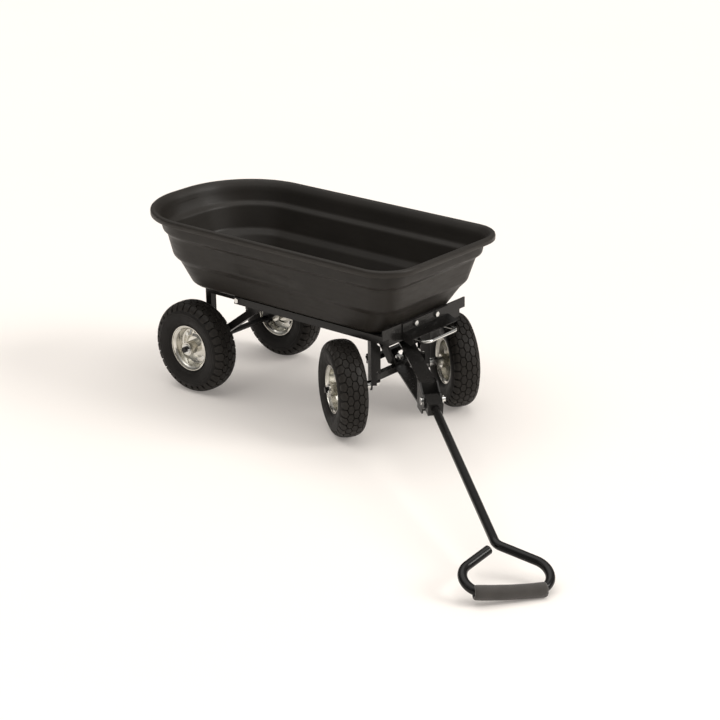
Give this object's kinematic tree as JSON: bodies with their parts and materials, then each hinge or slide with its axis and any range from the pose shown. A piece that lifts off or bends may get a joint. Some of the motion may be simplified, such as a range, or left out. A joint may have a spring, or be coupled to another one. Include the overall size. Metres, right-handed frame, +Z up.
{
  "type": "garden cart",
  "caption": "Four-wheeled pull cart with a tipping plastic tub, linked front steering, a spring latch and a bent tube handle with a foam grip.",
  "frame": {"origin": "middle of the whole cart's footprint at rest, on the ground", "axes": "+Z up; -Y towards the pull handle, +Y towards the tipping end; X across the cart"},
  "size_m": [1.0117, 1.7129, 0.503],
  "materials": {
    "tub_plastic": "satin moulded plastic, near black",
    "tyre_rubber": "matte tread rubber",
    "grip_foam": "soft foam, matte",
    "zinc_sheet": "zinc plated pressed steel",
    "zinc_bright": "bright zinc plating",
    "black_paint": "gloss black powder coat"
  },
  "bodies": {
    "frame": {"side_rail_left": "black_paint", "rear_rail_left": "black_paint", "rear_leg_left": "black_paint", "rear_brace_left": "black_paint", "front_strut_left": "black_paint", "side_rail_right": "black_paint", "rear_rail_right": "black_paint", "rear_leg_right": "black_paint", "rear_brace_right": "black_paint", "front_strut_right": "black_paint", "front_cross_member": "black_paint", "rear_cross_member": "black_paint", "pivot_cross_member": "black_paint", "axle_beam": "black_paint", "rear_axle": "black_paint", "rear_axle_hardware": "zinc_bright", "pivot_bolts": "zinc_bright", "frame_bolts": "zinc_bright", "hinge_pins": "zinc_bright", "latch_housing": "black_paint", "latch_springs": "zinc_bright"},
    "tub": {"tub": "tub_plastic", "hinge_bracket_left": "black_paint", "hinge_bracket_right": "black_paint", "tub_catch": "black_paint", "tub_bolts": "zinc_bright"},
    "bail": {"release_bail": "zinc_bright"},
    "knuckle_left": {"knuckle_left": "black_paint", "knuckle_hardware_left": "zinc_bright"},
    "knuckle_right": {"knuckle_right": "black_paint", "knuckle_hardware_right": "zinc_bright"},
    "tie_rod": {"tie_rod": "black_paint"},
    "drawbar": {"drawbar_lower_arm": "black_paint", "drawbar_upper_arm": "black_paint", "drawbar_cheek_left": "black_paint", "drawbar_cheek_right": "black_paint", "handle_pin": "zinc_bright"},
    "handle": {"handle_socket": "black_paint", "handle_bar": "black_paint", "grip": "grip_foam"},
    "wheel_rear_left": {"rear_left_tyre": "tyre_rubber", "rear_left_rim_outer": "zinc_sheet", "rear_left_rim_inner": "zinc_sheet", "rear_left_hub": "zinc_sheet", "rear_left_rim_fittings": "zinc_bright"},
    "wheel_rear_right": {"rear_right_tyre": "tyre_rubber", "rear_right_rim_outer": "zinc_sheet", "rear_right_rim_inner": "zinc_sheet", "rear_right_hub": "zinc_sheet", "rear_right_rim_fittings": "zinc_bright"},
    "wheel_front_left": {"front_left_tyre": "tyre_rubber", "front_left_rim_outer": "zinc_sheet", "front_left_rim_inner": "zinc_sheet", "front_left_hub": "zinc_sheet", "front_left_rim_fittings": "zinc_bright"},
    "wheel_front_right": {"front_right_tyre": "tyre_rubber", "front_right_rim_outer": "zinc_sheet", "front_right_rim_inner": "zinc_sheet", "front_right_hub": "zinc_sheet", "front_right_rim_fittings": "zinc_bright"}
  },
  "joints": [
    {"name": "drawbar_steer", "type": "hinge", "parent": "frame", "child": "drawbar", "pos_m": [0.24034, 0.0575, 0.17], "axis": [0, 0, 1], "range_deg": [-10, 86]},
    {"name": "knuckle_left_steer", "type": "hinge", "parent": "frame", "child": "knuckle_left", "pos_m": [0.34034, 0.0575, 0.2], "axis": [0, 0, 1], "range_deg": [-9.04, 76.24]},
    {"name": "knuckle_right_steer", "type": "hinge", "parent": "frame", "child": "knuckle_right", "pos_m": [0.14034, 0.0575, 0.2], "axis": [0, 0, 1], "range_deg": [-9.04, 76.24]},
    {"name": "tie_rod_pivot", "type": "hinge", "parent": "knuckle_left", "child": "tie_rod", "pos_m": [0.37355, 0.10748, 0.186], "axis": [0, 0, 1], "range_deg": [-76.24, 9.04]},
    {"name": "handle_lift", "type": "hinge", "parent": "drawbar", "child": "handle", "pos_m": [0.02117, -0.22303, 0.192], "axis": [-0.788, 0.6157, 0], "range_deg": [0, 100]},
    {"name": "tub_tip", "type": "hinge", "parent": "frame", "child": "tub", "pos_m": [0.24034, 0.6735, 0.279], "axis": [-1, 0, 0], "range_deg": [0, 86]},
    {"name": "bail_pull", "type": "slide", "parent": "frame", "child": "bail", "axis": [0, -1, 0], "range_m": [0, 0.014], "stiffness_N_per_m": 700, "springref_m": -0.01, "deforming": ["latch_springs"]},
    {"name": "wheel_rear_left_spin", "type": "hinge", "parent": "frame", "child": "wheel_rear_left", "pos_m": [0.42034, 0.6385, 0.13], "axis": [1, 0, 0], "continuous": true},
    {"name": "wheel_front_left_spin", "type": "hinge", "parent": "knuckle_left", "child": "wheel_front_left", "pos_m": [0.41447, 0.00825, 0.13], "axis": [0.8329, -0.5534, 0], "continuous": true},
    {"name": "wheel_rear_right_spin", "type": "hinge", "parent": "frame", "child": "wheel_rear_right", "pos_m": [0.06034, 0.6385, 0.13], "axis": [1, 0, 0], "continuous": true},
    {"name": "wheel_front_right_spin", "type": "hinge", "parent": "knuckle_right", "child": "wheel_front_right", "pos_m": [0.06621, 0.10675, 0.13], "axis": [0.8329, -0.5534, 0], "continuous": true}
  ],
  "couplings": [
    {"joint": "knuckle_left_steer", "follows": "drawbar_steer", "ratio": 0.88421},
    {"joint": "knuckle_right_steer", "follows": "drawbar_steer", "ratio": 0.88421},
    {"joint": "tie_rod_pivot", "follows": "drawbar_steer", "ratio": -0.88421}
  ]
}
